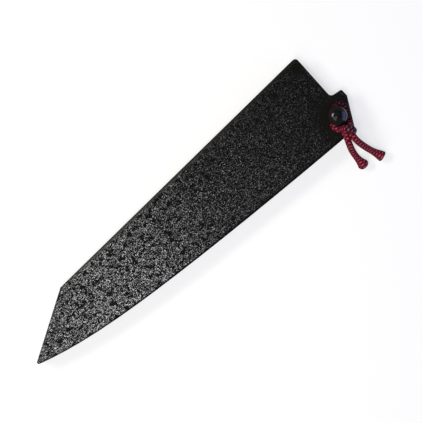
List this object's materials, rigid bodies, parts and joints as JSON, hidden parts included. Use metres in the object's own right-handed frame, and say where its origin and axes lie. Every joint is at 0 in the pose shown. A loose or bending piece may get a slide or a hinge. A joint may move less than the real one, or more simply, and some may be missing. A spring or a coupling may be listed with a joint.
{
  "type": "knife blade guard",
  "caption": "Flat wooden sheath of two glued halves for a long clipped-tip kitchen knife, with a pull-out tapered pin and a knotted cord.",
  "frame": {"origin": "centre of the sheath's box on the surface it lies on, without the cord", "axes": "+X along the spine from the tip to the mouth, +Y from the cutting edge to the spine, +Z out of the front face"},
  "size_m": [0.2639, 0.0873, 0.0235],
  "materials": {
    "lacquer": "black lacquer with a raised stone grain",
    "pin_lacquer": "polished black lacquer",
    "cord": "braided"
  },
  "bodies": {
    "sheath": {"front_shell": "lacquer", "back_shell": "lacquer"},
    "tether": {"cord_loop": "cord", "cord_knot": "cord", "cord_tail_left": "cord", "cord_tail_right": "cord"},
    "pin": {"pin": "pin_lacquer"}
  },
  "joints": [
    {"name": "pin_pull", "type": "slide", "parent": "sheath", "child": "tether", "axis": [0, 0, 1], "range_m": [0, 0.02]},
    {"name": "pin_twist", "type": "hinge", "parent": "tether", "child": "pin", "pos_m": [0.1176, -0.0159, 0.014], "axis": [0, 0, 1], "continuous": true}
  ]
}
